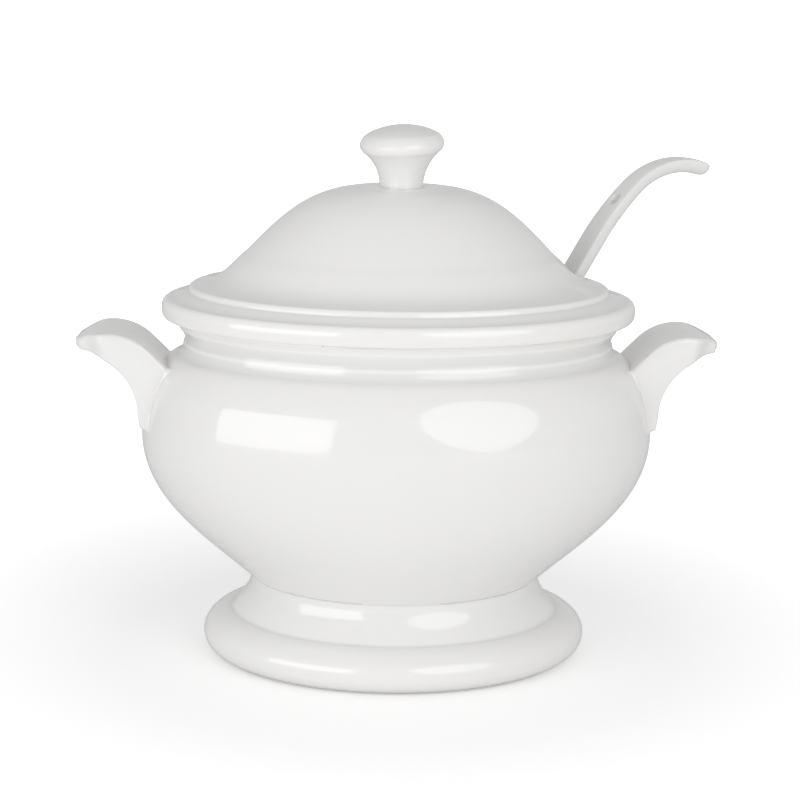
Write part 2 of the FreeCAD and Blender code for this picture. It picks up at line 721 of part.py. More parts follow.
# ---------------------------------------------------------------------------
# Assembly
# ---------------------------------------------------------------------------

pieces = [
    add_piece("pedestal_foot", build_foot()),
    add_piece("tureen_bowl", build_bowl()),
    add_piece("lid", build_lid().cut(notch_tool())),
    add_piece("ladle_handle", build_ladle_handle()),
]
bowl_outside_solid = add_piece("bowl_outside_solid", bowl_solid())
right_handle = build_right_handle(bowl_outside_solid)
left_handle = doc.addObject("Part::Mirroring", "left_handle")
left_handle.Label = "left_handle"
left_handle.Source = right_handle
left_handle.Normal = Vector(1, 0, 0)
pieces += [right_handle, left_handle, build_knob(), build_cup()]
doc.recompute()

for item in doc.Objects:
    if {"Invalid", "Error"} & set(item.State):
        raise RuntimeError("%s failed: %s" % (item.Label, item.State))
for piece in pieces:
    shape = piece.Shape
    if shape.isNull() or not shape.isValid() or len(shape.Solids) != 1:
        raise RuntimeError("%s is not one valid solid" % piece.Label)

os.makedirs("parts", exist_ok=True)
for piece in pieces:
    piece.Shape.exportStep("parts/%s.step" % piece.Label)
    print("%-16s %8.1f cm3" % (piece.Label, piece.Shape.Volume / 1000))
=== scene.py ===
import math

import bmesh
import bpy
from bpy.props import FloatProperty, FloatVectorProperty, IntProperty, PointerProperty
from mathutils import Matrix, Vector


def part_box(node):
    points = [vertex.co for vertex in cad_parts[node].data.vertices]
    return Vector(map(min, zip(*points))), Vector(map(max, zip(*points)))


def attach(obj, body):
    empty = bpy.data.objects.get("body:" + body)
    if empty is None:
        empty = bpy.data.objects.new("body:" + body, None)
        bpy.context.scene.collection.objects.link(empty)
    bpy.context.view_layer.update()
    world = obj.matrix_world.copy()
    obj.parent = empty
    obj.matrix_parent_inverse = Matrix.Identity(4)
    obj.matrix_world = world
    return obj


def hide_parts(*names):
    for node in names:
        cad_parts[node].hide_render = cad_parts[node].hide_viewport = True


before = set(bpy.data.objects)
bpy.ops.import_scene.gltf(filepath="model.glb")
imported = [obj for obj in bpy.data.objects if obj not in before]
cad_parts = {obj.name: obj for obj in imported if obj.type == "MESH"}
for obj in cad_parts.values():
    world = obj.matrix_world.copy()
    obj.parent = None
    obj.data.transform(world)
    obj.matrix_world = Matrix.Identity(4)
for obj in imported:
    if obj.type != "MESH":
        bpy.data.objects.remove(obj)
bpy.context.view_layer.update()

bl_info = {
    "name": "Porcelain soup tureen",
    "version": (1, 0, 0),
    "blender": (4, 5, 0),
    "location": "3D View > Sidebar > Tureen",
    "description": "Builds an oval footed soup tureen with its lid and ladle around a packed frame",
    "category": "Add Mesh",
}

# Places that come from the frame, in metres.
BOWL_LOW, BOWL_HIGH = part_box("tureen_bowl")
FOOT_LOW, FOOT_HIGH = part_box("pedestal_foot")
LID_LOW, LID_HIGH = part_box("lid")
KNOB_LOW, KNOB_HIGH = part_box("lid_knob")
RIGHT_LOW, RIGHT_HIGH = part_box("right_handle")

RIM_HEIGHT = BOWL_HIGH[2]
NECK_HEIGHT = BOWL_LOW[2]
BELLY = BOWL_HIGH[0]
FLANGE = FOOT_HIGH[0]
LID_EDGE = LID_HIGH[0]
LID_TOP = KNOB_LOW[2]
BODY_ASPECT = BOWL_HIGH[1] / BOWL_HIGH[0]
FOOT_ASPECT = FOOT_HIGH[1] / FOOT_HIGH[0]


def length(name, default, description):
    """A size in metres that a user can change."""
    return FloatProperty(name=name, default=default, description=description, unit="LENGTH", precision=4)


def angle(name, default, description):
    """An angle that a user can change."""
    return FloatProperty(name=name, default=math.radians(default), description=description, unit="ROTATION")


# ----------
# Sizes and looks
# ----------

class BowlSizes(bpy.types.PropertyGroup):
    """The bowl, from its joint with the foot up to its rim."""
    neck: length("Neck", 0.078, "Half-width where the foot joins")
    belly_height: length("Belly height", 0.122, "Height of the widest line")
    rim: length("Rim", 0.117, "Half-width of the band below the lid")
    band: length("Band", 0.0048, "Height of that band")
    shoulder: length("Shoulder", 0.121, "Half-width where the cove starts")
    shoulder_drop: length("Shoulder drop", 0.020, "Shoulder below the rim")
    collar: length("Collar", 0.1142, "Half-width of the ridge between cove and groove")
    collar_drop: length("Collar drop", 0.013, "Ridge below the rim")
    wall: length("Wall", 0.0055, "Wall of the bowl")
    floor: length("Floor", 0.0075, "Thickness of the floor")
    lip_round: length("Lip rounding", 0.0016, "Rounding of the lip and of the band")


class FootSizes(bpy.types.PropertyGroup):
    """The hollow foot."""
    base: length("Base", 0.088, "Half-width of the ring that it stands on")
    ring: length("Ring", 0.007, "Width of that ring")
    flange_height: length("Flange height", 0.011, "Height of the widest line")
    crease_height: length("Crease height", 0.024, "Crease between flange and cove")
    wall: length("Wall", 0.008, "Wall at the neck")


class LidSizes(bpy.types.PropertyGroup):
    """The domed lid and its knob."""
    gap: length("Gap", 0.0003, "Gap over the bowl's rim")
    edge: length("Edge", 0.0105, "Height of the rounded edge")
    cove: length("Cove", 0.0034, "Rise of the shallow cove")
    step_inset: length("Step inset", 0.014, "Step inside the edge")
    step: length("Step", 0.0032, "Height of the step")
    dome: length("Dome", 0.081, "Half-width of the dome's side")
    dome_rise: length("Dome rise", 0.035, "That side above the bowl's rim")
    flat: length("Flat", 0.018, "Half-width of the flat under the knob")
    wall: length("Wall", 0.005, "Wall of the lid")
    flange_depth: length("Flange depth", 0.008, "Locating flange below the rim")
    flange_wall: length("Flange wall", 0.004, "Wall of that flange")
    flange_clearance: length("Flange clearance", 0.0015, "Gap between flange and bowl")
    knob_base: length("Knob base", 0.0115, "Radius of the knob's foot")
    knob_neck: length("Knob neck", 0.0195, "Radius of the edge under the cap")
    knob_neck_height: length("Knob neck height", 0.0176, "Height of that edge")
    knob_widest_height: length("Knob widest height", 0.022, "Height of the widest line")
    knob_shoulder: length("Knob shoulder", 0.0175, "Radius where side turns into top")
    knob_shoulder_height: length("Knob shoulder height", 0.0284, "Height of that turn")
    knob_slant: FloatProperty(name="Knob slant", default=0.045, description="Rise of the cap towards +X")


class HandleSizes(bpy.types.PropertyGroup):
    """The two lug handles."""
    crest_setback: length("Crest setback", 0.0175, "Crest to tip")
    crest_rise: length("Crest rise", 0.0563, "Crest above the belly's widest line")
    crest_radius: length("Crest radius", 0.030, "Arch on top")
    hollow_radius: length("Hollow radius", 0.0325, "Arch underneath")
    tip: length("Tip", 0.005, "Thickness at the tip")
    root_rise: length("Root rise", 0.005, "Lowest point above the belly's widest line")
    lobe: length("Lobe", 0.013, "Half-width of the tip's middle lobe")
    lobe_length: length("Lobe length", 0.012, "Lobe past its shoulders")
    edge: length("Edge", 0.0022, "Rounding of the long edges")
    flare: length("Flare", 0.0055, "Glaze and clay flared out at the root")


class LadleSizes(bpy.types.PropertyGroup):
    """The ladle."""
    azimuth: angle("Azimuth", 22, "Direction in which the ladle leans, from +X towards +Y")
    slope: angle("Slope", 57, "Slope of the straight part")
    rim_gap: length("Rim gap", 0.001, "Handle's back to the bowl's lip")
    bend_rise: length("Bend rise", 0.037, "End of the straight part above the rim")
    bend_radius: length("Bend radius", 0.150, "Easy bend")
    bend: angle("Bend", 15, "Turn of the easy bend")
    hook_radius: length("Hook radius", 0.046, "Hook at the end")
    hook: angle("Hook", 68, "Turn of the hook")
    width: length("Width", 0.0165, "Width of the flat face")
    thickness: length("Thickness", 0.010, "Thickness of the handle")
    tip_width: length("Tip width", 0.0125, "Width at the tip")
    tip_thickness: length("Tip thickness", 0.008, "Thickness at the tip")
    hole: length("Hole", 0.00325, "Radius of the hanging hole")
    hole_distance: length("Hole distance", 0.026, "Hole from the end of the straight part")
    cup: length("Cup", 0.038, "Outer radius at the cup's rim")
    cup_depth: length("Cup depth", 0.031, "Outer depth of the cup")
    cup_wall: length("Cup wall", 0.0035, "Wall of the cup")
    cup_tilt: angle("Cup tilt", 15, "Tilt towards the handle")
    floor_gap: length("Floor gap", 0.0025, "Cup above the bowl's floor")
    notch: length("Notch", 0.0025, "Gap round the handle in the lid")


class GlazeLook(bpy.types.PropertyGroup):
    """Colours of the porcelain."""
    glaze: FloatVectorProperty(name="Glaze", description="Glazed body", subtype="COLOR",
                               default=(0.90, 0.895, 0.885))
    pooled: FloatVectorProperty(name="Pooled glaze", description="Where the glaze lies thick",
                                subtype="COLOR", default=(0.80, 0.81, 0.80))
    thin: FloatVectorProperty(name="Thin glaze", description="Where the glaze runs off an edge",
                              subtype="COLOR", default=(0.93, 0.92, 0.90))
    bisque: FloatVectorProperty(name="Bisque", description="Bare clay where the pieces stand",
                                subtype="COLOR", default=(0.78, 0.74, 0.67))
    gloss: FloatProperty(name="Roughness", description="Roughness of the glaze", default=0.075)


class StudioSizes(bpy.types.PropertyGroup):
    """Camera, floor and lights."""
    distance: length("Distance", 1.1643, "Camera to the middle, on the floor plan")
    height: length("Height", 0.4166, "Camera's height")
    turn: angle("Turn", -3.13, "Camera's place round the object")
    roll: angle("Roll", 1.01, "Camera's roll")
    aim_height: length("Aim height", 0.1387, "Height that the camera looks at")
    aim_side: length("Aim side", 0.0013, "Sideways place that the camera looks at")
    lens: FloatProperty(name="Lens", description="Focal length in millimetres", default=100.5)
    side_light: FloatProperty(name="Side light", description="Even light from the sides", default=0.64)
    sky_light: FloatProperty(name="Sky light", description="Even light from above", default=0.5)
    segments: IntProperty(name="Segments", description="Facets round an oval", default=256)


# ----------
# Outlines: a list of (stretch, rounding at its end); a stretch is a list of ovals,
# and an oval is (half-width, half-depth, height)
# ----------

SHARP = 0.0
SOFT = 0.0012
SHOULDER_ROUND = 0.004
CREASE_ANGLE = math.radians(50)
CUT_ANGLE = math.radians(35)
NOTCH_CORNER = 0.004


def ring(half_width, height, aspect, inset=0.0):
    """An oval at one height, moved inwards by the inset on every side."""
    return Vector((half_width - inset, half_width * aspect - inset, height))


def straight(start, end, steps=6):
    """A straight stretch between two ovals."""
    return [start.lerp(end, step / steps) for step in range(steps + 1)]


def bezier(points, steps):
    """A curve through its control points' hull, of any degree."""
    result = []
    for step in range(steps + 1):
        share = step / steps
        level = list(points)
        while len(level) > 1:
            level = [first.lerp(second, share) for first, second in zip(level, level[1:])]
        result.append(level[0])
    return result


def curve(start, start_pull, end_pull, end, steps=18):
    """A cubic stretch; each pull is (outwards, upwards) from its own end."""
    controls = [start]
    for oval, pull in ((start, start_pull), (end, end_pull)):
        share = oval[1] / oval[0]
        controls.append(oval + Vector((pull[0], pull[0] * share, pull[1])))
    return bezier(controls + [end], steps)


def axis_point(height):
    """The middle of the oval at one height."""
    return Vector((0, 0, height))


def without_end(points, reach):
    """The stretch shortened at its end by a distance along it."""
    left = reach
    points = list(points)
    while len(points) > 1:
        span = (points[-1] - points[-2]).length
        if span > left:
            points[-1] = points[-1].lerp(points[-2], left / span)
            return points
        left -= span
        points.pop()
    return points


def outline(stretches):
    """One row of ovals, with a rounded corner wherever a stretch asks for one."""
    row = list(stretches[0][0])
    for (previous, rounding), (following, _) in zip(stretches, stretches[1:]):
        if rounding == SHARP:
            row += following[1:]
            continue
        corner = following[0]
        longest = 0.45 * min((previous[0] - previous[-1]).length, (following[0] - following[-1]).length)
        reach = min(rounding, longest)
        row = without_end(row, reach)
        rest = list(reversed(without_end(list(reversed(following)), reach)))
        row += bezier([row[-1], corner, rest[0]], 6)[1:-1] + rest
    return row


def glaze_depth(row):
    """How thick the glaze lies on each oval: 1 in a tight hollow, -1 on a tight edge."""
    thick_at = 220.0
    depths = [0.0]
    for before, here, after in zip(row, row[1:], row[2:]):
        way_in = Vector((here[0] - before[0], here[2] - before[2]))
        way_out = Vector((after[0] - here[0], after[2] - here[2]))
        span = way_in.length + way_out.length
        if way_in.length < 1e-7 or way_out.length < 1e-7:
            depths.append(0.0)
            continue
        turn = math.atan2(way_in.cross(way_out), way_in.dot(way_out))
        depths.append(max(-1.0, min(1.0, -2 * turn / span / thick_at)))
    depths.append(0.0)
    for _ in range(3):
        depths = [sum(depths[max(0, i - 1):i + 2]) / len(depths[max(0, i - 1):i + 2])
                  for i in range(len(depths))]
    return depths


# ----------
# Meshes
# ----------

def new_piece(name, points, faces, depths=None):
    """A smooth-shaded object from points and faces, with the glaze's depth at each point."""
    mesh = bpy.data.meshes.new(name)
    mesh.from_pydata([tuple(point) for point in points], [], faces)
    mesh.update()
    layer = mesh.attributes.new("glaze_depth", "FLOAT", "POINT")
    layer.data.foreach_set("value", depths or [0.0] * len(points))
    mesh.shade_smooth()
    piece = bpy.data.objects.new(name, mesh)
    bpy.context.scene.collection.objects.link(piece)
    return piece


def skin(rings, closed_start, closed_end):
    """Points and faces of a tube over rings with the same count of points."""
    count = len(rings[0])
    points = [point for one in rings for point in one]
    faces = []
    for level in range(len(rings) - 1):
        for index in range(count):
            following = (index + 1) % count
            low = level * count
            high = low + count
            faces.append((low + index, low + following, high + following, high + index))
    for wanted, level in ((closed_start, 0), (closed_end, len(rings) - 1)):
        if wanted:
            loop = [level * count + index for index in range(count)]
            points.append(sum(rings[level], Vector()) / count)
            for index in range(count):
                following = loop[(index + 1) % count]
                pair = (following, loop[index]) if level == 0 else (loop[index], following)
                faces.append(pair + (len(points) - 1,))
    return points, faces


def lathe(name, row, segments):
    """An oval turned piece. A row that starts or ends on the axis is closed there."""
    closed = [row[end][0] < 1e-6 for end in (0, -1)]
    depths = glaze_depth(row)
    kept = [index for index, oval in enumerate(row) if oval[0] > 1e-6]
    rings = []
    for index in kept:
        oval = row[index]
        rings.append([Vector((oval[0] * math.cos(turn), oval[1] * math.sin(turn), oval[2]))
                      for turn in (2 * math.pi * step / segments for step in range(segments))])
    endless = not any(closed)
    if endless:
        rings.append(rings[0])
    points, faces = skin(rings, closed[0], closed[1])
    values = [depths[index] for index in kept for _ in range(segments)]
    values += [0.0] * (len(points) - len(values))
    piece = new_piece(name, points, faces, values)
    if endless:
        weld(piece)
    piece.data.set_sharp_from_angle(angle=CREASE_ANGLE)
    return piece


def weld(piece):
    """Joins points that lie on each other."""
    work = bmesh.new()
    work.from_mesh(piece.data)
    bmesh.ops.remove_doubles(work, verts=work.verts, dist=1e-7)
    bmesh.ops.recalc_face_normals(work, faces=work.faces)
    work.to_mesh(piece.data)
    work.free()


def cut_away(piece, tool):
    """Removes the tool's volume from the piece, and keeps the new edges crisp."""
    modifier = piece.modifiers.new("cut", "BOOLEAN")
    modifier.operation = "DIFFERENCE"
    modifier.solver = "EXACT"
    modifier.object = tool
    seen = piece.evaluated_get(bpy.context.evaluated_depsgraph_get())
    mesh = bpy.data.meshes.new_from_object(seen)
    piece.modifiers.clear()
    piece.data = mesh
    mesh.shade_smooth()
    mesh.set_sharp_from_angle(angle=CUT_ANGLE)
    bpy.data.objects.remove(tool)


def finished(piece, body, node, materials):
    """Gives the piece its materials and its place in the frame."""
    piece.data.materials.clear()
    for material in materials:
        piece.data.materials.append(material)
    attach(piece, body)
    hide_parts(node)


# ----------
# Materials
# ----------

def add_node(tree, kind, place, sockets=None, **settings):
    """A shader node with its settings and the fixed values of its sockets."""
    node = tree.nodes.new(kind)
    node.location = place
    for key, value in settings.items():
        setattr(node, key, value)
    for key, value in (sockets or {}).items():
        node.inputs[key].default_value = value
    return node


def fresh_material(name):
    """A new node material with its tree and surface shader, or the one made before."""
    old = bpy.data.materials.get(name)
    if old:
        return old, None, None
    material = bpy.data.materials.new(name)
    material.use_nodes = True
    tree = material.node_tree
    shader = next(node for node in tree.nodes if node.type == "BSDF_PRINCIPLED")
    return material, tree, shader


def glaze_material(look):
    """White glaze: thick and grey-blue in hollows, thin on edges, faintly uneven, rare specks."""
    material, tree, shader = fresh_material("white_glaze")
    if tree is None:
        return material
    link = tree.links.new
    place = add_node(tree, "ShaderNodeTexCoord", (-1400, 0))
    depth = add_node(tree, "ShaderNodeAttribute", (-1400, 300), attribute_name="glaze_depth")
    pooling = add_node(tree, "ShaderNodeMapRange", (-1200, 420), {"From Min": 0.05})
    link(depth.outputs["Fac"], pooling.inputs["Value"])
    thinning = add_node(tree, "ShaderNodeMapRange", (-1200, 160), {"From Min": -0.1, "From Max": -1.0})
    link(depth.outputs["Fac"], thinning.inputs["Value"])

    clouds = add_node(tree, "ShaderNodeTexNoise", (-1200, -100), {"Scale": 14.0, "Detail": 3.0})
    link(place.outputs["Object"], clouds.inputs["Vector"])
    cloud_tint = add_node(tree, "ShaderNodeMix", (-950, 0), data_type="RGBA", sockets={
        "A": (*look.glaze, 1), "B": (*[0.985 * part for part in look.glaze], 1)})
    link(clouds.outputs["Fac"], cloud_tint.inputs["Factor"])
    pooled = add_node(tree, "ShaderNodeMix", (-740, 120), {"B": (*look.pooled, 1)}, data_type="RGBA")
    link(pooling.outputs["Result"], pooled.inputs["Factor"])
    link(cloud_tint.outputs["Result"], pooled.inputs["A"])
    thinned = add_node(tree, "ShaderNodeMix", (-540, 120), {"B": (*look.thin, 1)}, data_type="RGBA")
    link(thinning.outputs["Result"], thinned.inputs["Factor"])
    link(pooled.outputs["Result"], thinned.inputs["A"])

    # Iron specks: the few cells of a coarse pattern whose centre is very near the surface.
    cells = add_node(tree, "ShaderNodeTexVoronoi", (-1200, -400), {"Scale": 30.0})
    link(place.outputs["Object"], cells.inputs["Vector"])
    speck = add_node(tree, "ShaderNodeMapRange", (-950, -400), {
        "From Min": 0.012, "From Max": 0.022, "To Min": 0.55, "To Max": 0.0})
    link(cells.outputs["Distance"], speck.inputs["Value"])
    specked = add_node(tree, "ShaderNodeMix", (-320, 60), {"B": (0.22, 0.17, 0.12, 1)}, data_type="RGBA")
    link(speck.outputs["Result"], specked.inputs["Factor"])
    link(thinned.outputs["Result"], specked.inputs["A"])
    link(specked.outputs["Result"], shader.inputs["Base Color"])

    gloss = add_node(tree, "ShaderNodeMapRange", (-540, -160), {
        "From Min": 0.3, "From Max": 0.7, "To Min": 0.8 * look.gloss, "To Max": 1.3 * look.gloss})
    link(clouds.outputs["Fac"], gloss.inputs["Value"])
    link(gloss.outputs["Result"], shader.inputs["Roughness"])

    # The glaze settles in slow waves, with a finer skin like that of an orange.
    waves = add_node(tree, "ShaderNodeTexNoise", (-950, -640), {"Scale": 22.0, "Detail": 1.0})
    link(place.outputs["Object"], waves.inputs["Vector"])
    wave_bump = add_node(tree, "ShaderNodeBump", (-540, -560), {"Strength": 0.35, "Distance": 0.0012})
    link(waves.outputs["Fac"], wave_bump.inputs["Height"])
    peel = add_node(tree, "ShaderNodeTexNoise", (-950, -880), {"Scale": 260.0, "Detail": 2.0})
    link(place.outputs["Object"], peel.inputs["Vector"])
    peel_bump = add_node(tree, "ShaderNodeBump", (-320, -560), {"Strength": 0.05, "Distance": 0.0004})
    link(peel.outputs["Fac"], peel_bump.inputs["Height"])
    link(wave_bump.outputs["Normal"], peel_bump.inputs["Normal"])
    link(peel_bump.outputs["Normal"], shader.inputs["Normal"])

    shader.inputs["IOR"].default_value = 1.5
    shader.inputs["Subsurface Weight"].default_value = 0.12
    shader.inputs["Subsurface Radius"].default_value = (1.0, 0.9, 0.75)
    shader.inputs["Subsurface Scale"].default_value = 0.0025
    shader.inputs["Coat Weight"].default_value = 0.35
    shader.inputs["Coat Roughness"].default_value = 0.03
    return material


def bisque_material(look):
    """Bare fired clay: matt, warm and finely grained."""
    material, tree, shader = fresh_material("bare_clay")
    if tree is None:
        return material
    link = tree.links.new
    place = add_node(tree, "ShaderNodeTexCoord", (-900, 0))
    grain = add_node(tree, "ShaderNodeTexNoise", (-700, 0), {"Scale": 900.0, "Detail": 4.0})
    link(place.outputs["Object"], grain.inputs["Vector"])
    tint = add_node(tree, "ShaderNodeMix", (-420, 80), {
        "A": (*look.bisque, 1),
        "B": (*[0.86 * part for part in look.bisque], 1)}, data_type="RGBA")
    link(grain.outputs["Fac"], tint.inputs["Factor"])
    link(tint.outputs["Result"], shader.inputs["Base Color"])
    bump = add_node(tree, "ShaderNodeBump", (-420, -200), {"Strength": 0.3, "Distance": 0.0002})
    link(grain.outputs["Fac"], bump.inputs["Height"])
    link(bump.outputs["Normal"], shader.inputs["Normal"])
    shader.inputs["Roughness"].default_value = 0.85
    return material


def glaze_and_bisque():
    """The two materials of every piece: index 0 is glazed and index 1 is bare."""
    look = bpy.context.scene.tureen_glaze
    return [glaze_material(look), bisque_material(look)]


def bare_clay_where(piece, is_bare):
    """Marks the faces that stay unglazed, by their middle and their normal."""
    for face in piece.data.polygons:
        face.material_index = 1 if is_bare(face.center, face.normal) else 0


# ----------
# Tureen
# ----------

def foot_row(foot, bowl):
    """Outline of the foot: ring, flange, crease, cove, neck and the hollow inside."""
    crease = bowl.neck + 0.4 * (FLANGE - bowl.neck)
    flange_rise = foot.crease_height - foot.flange_height
    cove_rise = NECK_HEIGHT - foot.crease_height
    outer = ring(foot.base, 0, FOOT_ASPECT)
    inner = ring(foot.base, 0, FOOT_ASPECT, foot.ring)
    widest = ring(FLANGE, foot.flange_height, FOOT_ASPECT)
    edge = ring(crease, foot.crease_height, FOOT_ASPECT)
    neck = ring(bowl.neck, NECK_HEIGHT, FOOT_ASPECT)
    neck_inner = ring(bowl.neck, NECK_HEIGHT, FOOT_ASPECT, foot.wall)
    return outline([
        (straight(inner, outer), SOFT),
        (curve(outer, (0.65 * (FLANGE - foot.base), 0), (0, -0.6 * foot.flange_height), widest), SHARP),
        (curve(widest, (0, 0.6 * flange_rise), (0.45 * (FLANGE - crease), -0.1 * flange_rise), edge), SOFT),
        (curve(edge, (-0.3 * (crease - bowl.neck), 0.25 * cove_rise), (0, -0.5 * cove_rise), neck), SHARP),
        (straight(neck, neck_inner), SOFT),
        (curve(neck_inner, (0.1 * foot.wall, -0.45 * NECK_HEIGHT),
               (0.9 * foot.wall, 0.35 * NECK_HEIGHT), inner), SHARP),
    ])


def upper_belly(bowl, inset, end):
    """The belly from its widest line over the shoulder."""
    widest = ring(BELLY, bowl.belly_height, BODY_ASPECT, inset)
    rise = end[2] - bowl.belly_height
    drop = widest[0] - end[0]
    return curve(widest, (0, 0.55 * rise), (0.48 * drop, -0.17 * rise), end, 30)


def lower_belly(bowl):
    """The belly from the neck to its widest line."""
    neck = ring(bowl.neck, NECK_HEIGHT, FOOT_ASPECT)
    widest = ring(BELLY, bowl.belly_height, BODY_ASPECT)
    rise = bowl.belly_height - NECK_HEIGHT
    spread = BELLY - bowl.neck
    return curve(neck, (0.42 * spread, 0.30 * rise), (0, -0.46 * rise), widest, 40)


def shoulder_ring(bowl):
    """The oval where the belly's top turns into the cove."""
    return ring(bowl.shoulder, RIM_HEIGHT - bowl.shoulder_drop, BODY_ASPECT)


def bowl_row(bowl):
    """Outline of the bowl, outside first, then lip and inside."""
    shoulder = shoulder_ring(bowl)
    ridge = ring(bowl.collar, RIM_HEIGHT - bowl.collar_drop, BODY_ASPECT)
    band_low = ring(bowl.rim - 0.0006, RIM_HEIGHT - bowl.band, BODY_ASPECT)
    band_high = ring(bowl.rim, RIM_HEIGHT, BODY_ASPECT)
    lip = ring(bowl.rim, RIM_HEIGHT, BODY_ASPECT, bowl.wall)
    waist = ring(bowl.collar, ridge[2], BODY_ASPECT, bowl.wall)
    inner_shoulder = ring(bowl.shoulder, shoulder[2] - 1.5 * bowl.wall, BODY_ASPECT, bowl.wall)
    floor_height = NECK_HEIGHT + bowl.floor
    floor = ring(0.7 * bowl.neck, floor_height, FOOT_ASPECT)
    widest = ring(BELLY, bowl.belly_height, BODY_ASPECT, bowl.wall)
    cove_rise = ridge[2] - shoulder[2]
    cove_run = bowl.shoulder - bowl.collar
    groove = band_low[2] - ridge[2]
    rise = bowl.belly_height - floor_height
    neck_rise = waist[2] - inner_shoulder[2]
    return outline([
        (straight(axis_point(NECK_HEIGHT), ring(bowl.neck, NECK_HEIGHT, FOOT_ASPECT)), SHARP),
        (lower_belly(bowl), SHARP),
        (upper_belly(bowl, 0, shoulder), SHOULDER_ROUND),
        (curve(shoulder, (-0.65 * cove_run, 0.12 * cove_rise), (0, -0.5 * cove_rise), ridge), 0.0009),
        (curve(ridge, (-0.2 * groove, 0.35 * groove), (-0.3 * groove, -0.35 * groove), band_low), 0.0008),
        (straight(band_low, band_high), bowl.lip_round),
        (straight(band_high, lip), bowl.lip_round),
        (straight(lip, waist), 0.002),
        (curve(waist, (0, -0.5 * neck_rise), (-0.15 * neck_rise, 0.3 * neck_rise), inner_shoulder), SOFT),
        (list(reversed(upper_belly(bowl, bowl.wall, inner_shoulder))), SHARP),
        (curve(widest, (0, -0.48 * rise), (0.5 * (widest[0] - floor[0]), 0), floor, 30), SHARP),
        (straight(floor, axis_point(floor_height)), SHARP),
    ])


def belly_reach(bowl, side, height):
    """How far along X the belly's outside lies, at a sideways place and a height."""
    outside = lower_belly(bowl) + upper_belly(bowl, 0, shoulder_ring(bowl))[1:]
    for low, high in zip(outside, outside[1:]):
        if low[2] <= height <= high[2]:
            oval = low.lerp(high, (height - low[2]) / (high[2] - low[2]))
            return oval[0] * math.sqrt(max(0.0, 1 - (side / oval[1]) ** 2))
    raise ValueError("height %.4f m is off the belly" % height)


# ----------
# Handles
# ----------

def handle_lines(sizes, bowl):
    """The strap's upper and lower lines in the XZ plane, both from tip to root."""
    tip_x = RIGHT_HIGH[0]
    crest_x = tip_x - sizes.crest_setback
    crest_centre = bowl.belly_height + sizes.crest_rise - sizes.crest_radius
    start = math.asin(sizes.crest_setback / sizes.crest_radius)
    steps = 26
    upper = []
    for step in range(steps + 1):
        turn = start - (start + math.pi / 4) * step / steps
        upper.append(Vector((crest_x + sizes.crest_radius * math.sin(turn), 0,
                             crest_centre + sizes.crest_radius * math.cos(turn))))
    reach = upper[-1][0] - belly_reach(bowl, 0, upper[-1][2] - 0.006)
    upper += straight(upper[-1], upper[-1] + Vector((-reach, 0, -reach)), 10)[1:]
    low_z = upper[0][2] - sizes.tip
    centre = Vector((tip_x, 0, low_z - sizes.hollow_radius))
    lower = []
    for step in range(steps + 1):
        turn = math.pi / 2 * step / steps
        lower.append(centre + sizes.hollow_radius * Vector((-math.sin(turn), 0, math.cos(turn))))
    root_z = bowl.belly_height + sizes.root_rise
    root = Vector((belly_reach(bowl, 0, root_z), 0, root_z))
    lower += straight(lower[-1], root, 10)[1:]
    return upper, lower


def tip_half_width(sizes, half_width, inside):
    """Half-width of the strap in plan, at a distance inside its tip: lobe, scallop, shoulder."""
    lobe_nose = 0.3 * sizes.lobe_length
    if inside < lobe_nose:
        return sizes.lobe * math.sqrt(max(0.05, 1 - (1 - inside / lobe_nose) ** 2.6))
    share = min(1.0, (inside - lobe_nose) / sizes.lobe_length)
    return sizes.lobe + (half_width - sizes.lobe) * share * share * (3 - 2 * share)


def handle_section(upper, lower, half_width, edge, count):
    """A rounded rectangle between the upper and the lower line."""
    middle = 0.5 * (upper + lower)
    rise = 0.5 * (upper - lower)
    half_height = rise.length
    radius = min(edge, 0.8 * half_height)
    corners = ((1, 1), (-1, 1), (-1, -1), (1, -1))
    section = []
    for index, (side, level) in enumerate(corners):
        for step in range(count):
            turn = math.pi / 2 * (index + step / (count - 1))
            across = side * (half_width - radius) + radius * math.cos(turn)
            up = level * (half_height - radius) + radius * math.sin(turn)
            section.append(middle + rise * (up / half_height) + Vector((0, across, 0)))
    return section


def on_belly(bowl, side, height, sunk):
    """The point of the belly's outside at a sideways place and a height, a little sunk in."""
    return Vector((belly_reach(bowl, side, height) - sunk, side, height))


